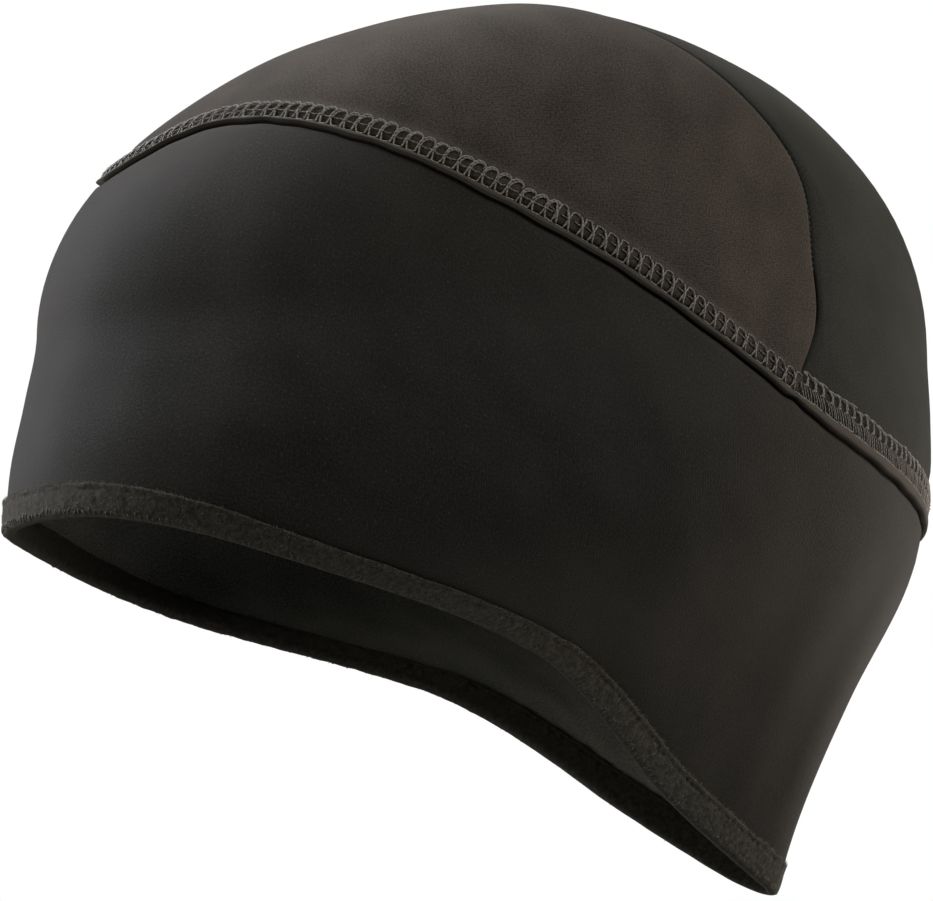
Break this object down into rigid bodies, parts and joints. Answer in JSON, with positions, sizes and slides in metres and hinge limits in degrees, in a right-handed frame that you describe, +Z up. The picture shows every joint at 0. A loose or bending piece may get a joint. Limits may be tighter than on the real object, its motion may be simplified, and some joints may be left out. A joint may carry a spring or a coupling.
{
  "type": "sports skull cap",
  "caption": "Close-fitting winter sports cap of stretch jersey with a tall band over the ears, a low nape, flat seams and a bound hem, kept in its worn form.",
  "frame": {"origin": "where the top of a head touches the inside of the crown", "axes": "+Z up, -Y towards the brow, +X towards the wearer's left"},
  "size_m": [0.158, 0.2042, 0.1879],
  "materials": {
    "band_jersey": "smooth matte knit",
    "binding_fleece": "brushed nap",
    "crown_front_jersey": "lightly brushed knit",
    "crown_back_jersey": "lightly brushed knit",
    "seam_thread": "satin thread"
  },
  "bodies": {
    "root": {"band": "band_jersey", "hem_binding": "binding_fleece", "crown_front": "crown_front_jersey", "crown_back": "crown_back_jersey", "flatlock_front": "seam_thread", "flatlock_rear": "seam_thread"}
  },
  "joints": []
}
